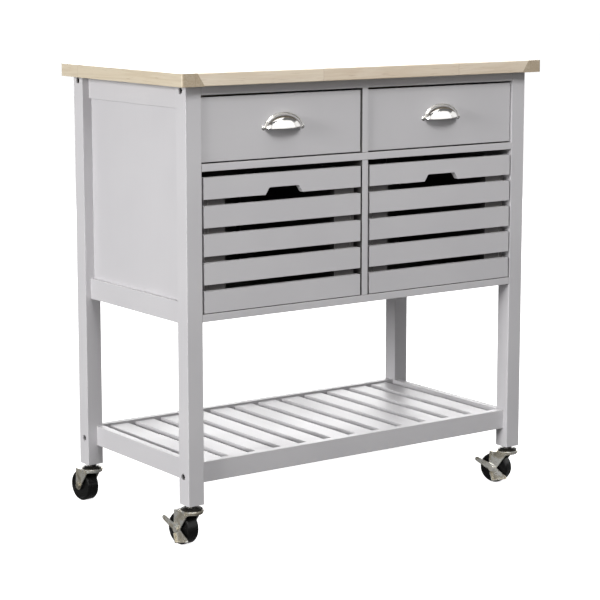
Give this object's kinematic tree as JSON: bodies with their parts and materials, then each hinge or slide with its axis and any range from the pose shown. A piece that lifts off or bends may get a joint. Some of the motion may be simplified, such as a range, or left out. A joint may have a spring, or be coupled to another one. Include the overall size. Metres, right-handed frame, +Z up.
{
  "type": "butcher block table",
  "caption": "Rolling kitchen table with a stave-built worktop, grey slatted base, drawers with cup pulls, pull-out slatted crates and a slatted lower shelf on swivel casters.",
  "frame": {"origin": "on the floor, below the centre of the outline in plan, with the casters as they stand at rest", "axes": "+X along the front to the right as seen from the front, +Y from the front to the back, +Z up"},
  "size_m": [0.886, 0.4892, 0.914],
  "materials": {
    "block_wood": "lacquered light hardwood staves",
    "end_cap_wood": "lacquered light hardwood, grain across the ends",
    "grey_paint": "light grey satin paint on wood",
    "raw_wood": "clear lacquered plywood and pine",
    "nickel": "polished nickel plate",
    "zinc_steel": "bright zinc-plated pressed steel",
    "dark_steel": "dark oxide steel",
    "brass": "plain brass-coloured cross dowels",
    "black_wheel": "glossy black moulded nylon"
  },
  "bodies": {
    "cart": {"top_slab": "block_wood", "top_end_caps": "end_cap_wood", "leg_front_left": "grey_paint", "leg_front_right": "grey_paint", "leg_back_left": "grey_paint", "leg_back_right": "grey_paint", "side_top_rails": "grey_paint", "side_low_rails": "grey_paint", "side_panels": "grey_paint", "front_top_rail": "grey_paint", "back_rails": "grey_paint", "back_panel": "raw_wood", "shelf_panel": "grey_paint", "bottom_panel": "grey_paint", "drawer_divider": "grey_paint", "crate_divider": "grey_paint", "drawer_runners": "raw_wood", "crate_guides": "raw_wood", "shelf_long_rails": "grey_paint", "shelf_side_rails": "grey_paint", "shelf_cleats": "grey_paint", "shelf_slats": "grey_paint", "barrel_bolts": "dark_steel", "cross_dowels": "brass", "wood_dowels": "raw_wood", "top_screws": "dark_steel", "caster_stems": "zinc_steel", "caster_nuts": "dark_steel"},
    "drawer_left": {"drawer_left_front": "grey_paint", "drawer_left_sides": "raw_wood", "drawer_left_back": "raw_wood", "drawer_left_bottom": "raw_wood", "drawer_left_pull": "nickel", "drawer_left_pull_screws": "nickel"},
    "drawer_right": {"drawer_right_front": "grey_paint", "drawer_right_sides": "raw_wood", "drawer_right_back": "raw_wood", "drawer_right_bottom": "raw_wood", "drawer_right_pull": "nickel", "drawer_right_pull_screws": "nickel"},
    "crate_left": {"crate_left_slats": "grey_paint", "crate_left_posts": "grey_paint", "crate_left_sides": "grey_paint", "crate_left_back": "grey_paint", "crate_left_bottom": "grey_paint"},
    "crate_right": {"crate_right_slats": "grey_paint", "crate_right_posts": "grey_paint", "crate_right_sides": "grey_paint", "crate_right_back": "grey_paint", "crate_right_bottom": "grey_paint"},
    "caster_front_left": {"fork_front_left": "zinc_steel"},
    "wheel_front_left": {"wheel_front_left": "black_wheel"},
    "brake_left": {"brake_lever_left": "zinc_steel"},
    "caster_front_right": {"fork_front_right": "zinc_steel"},
    "wheel_front_right": {"wheel_front_right": "black_wheel"},
    "brake_right": {"brake_lever_right": "zinc_steel"},
    "caster_back_left": {"fork_back_left": "zinc_steel"},
    "wheel_back_left": {"wheel_back_left": "black_wheel"},
    "caster_back_right": {"fork_back_right": "zinc_steel"},
    "wheel_back_right": {"wheel_back_right": "black_wheel"}
  },
  "joints": [
    {"name": "drawer_left_slide", "type": "slide", "parent": "cart", "child": "drawer_left", "axis": [0, -1, 0], "range_m": [0, 0.28]},
    {"name": "drawer_right_slide", "type": "slide", "parent": "cart", "child": "drawer_right", "axis": [0, -1, 0], "range_m": [0, 0.28]},
    {"name": "crate_left_slide", "type": "slide", "parent": "cart", "child": "crate_left", "axis": [0, -1, 0], "range_m": [0, 0.28]},
    {"name": "crate_right_slide", "type": "slide", "parent": "cart", "child": "crate_right", "axis": [0, -1, 0], "range_m": [0, 0.28]},
    {"name": "caster_front_left_swivel", "type": "hinge", "parent": "cart", "child": "caster_front_left", "pos_m": [-0.4035, -0.20308, 0.07], "axis": [0, 0, 1], "continuous": true},
    {"name": "wheel_front_left_spin", "type": "hinge", "parent": "caster_front_left", "child": "wheel_front_left", "pos_m": [-0.40667, -0.17727, 0.032], "axis": [0.9925, 0.1219, 0], "continuous": true},
    {"name": "brake_left_press", "type": "hinge", "parent": "caster_front_left", "child": "brake_left", "pos_m": [-0.40667, -0.17727, 0.032], "axis": [-0.9925, -0.1219, 0], "range_deg": [0, 14]},
    {"name": "caster_front_right_swivel", "type": "hinge", "parent": "cart", "child": "caster_front_right", "pos_m": [0.4035, -0.20308, 0.07], "axis": [0, 0, 1], "continuous": true},
    {"name": "wheel_front_right_spin", "type": "hinge", "parent": "caster_front_right", "child": "wheel_front_right", "pos_m": [0.39376, -0.17897, 0.032], "axis": [0.9272, 0.3746, 0], "continuous": true},
    {"name": "brake_right_press", "type": "hinge", "parent": "caster_front_right", "child": "brake_right", "pos_m": [0.39376, -0.17897, 0.032], "axis": [-0.9272, -0.3746, 0], "range_deg": [0, 14]},
    {"name": "caster_back_left_swivel", "type": "hinge", "parent": "cart", "child": "caster_back_left", "pos_m": [-0.4035, 0.18593, 0.07], "axis": [0, 0, 1], "continuous": true},
    {"name": "wheel_back_left_spin", "type": "hinge", "parent": "caster_back_left", "child": "wheel_back_left", "pos_m": [-0.40577, 0.21183, 0.032], "axis": [0.9962, 0.0872, 0], "continuous": true},
    {"name": "caster_back_right_swivel", "type": "hinge", "parent": "cart", "child": "caster_back_right", "pos_m": [0.4035, 0.18593, 0.07], "axis": [0, 0, 1], "continuous": true},
    {"name": "wheel_back_right_spin", "type": "hinge", "parent": "caster_back_right", "child": "wheel_back_right", "pos_m": [0.40123, 0.21183, 0.032], "axis": [0.9962, 0.0872, 0], "continuous": true}
  ]
}
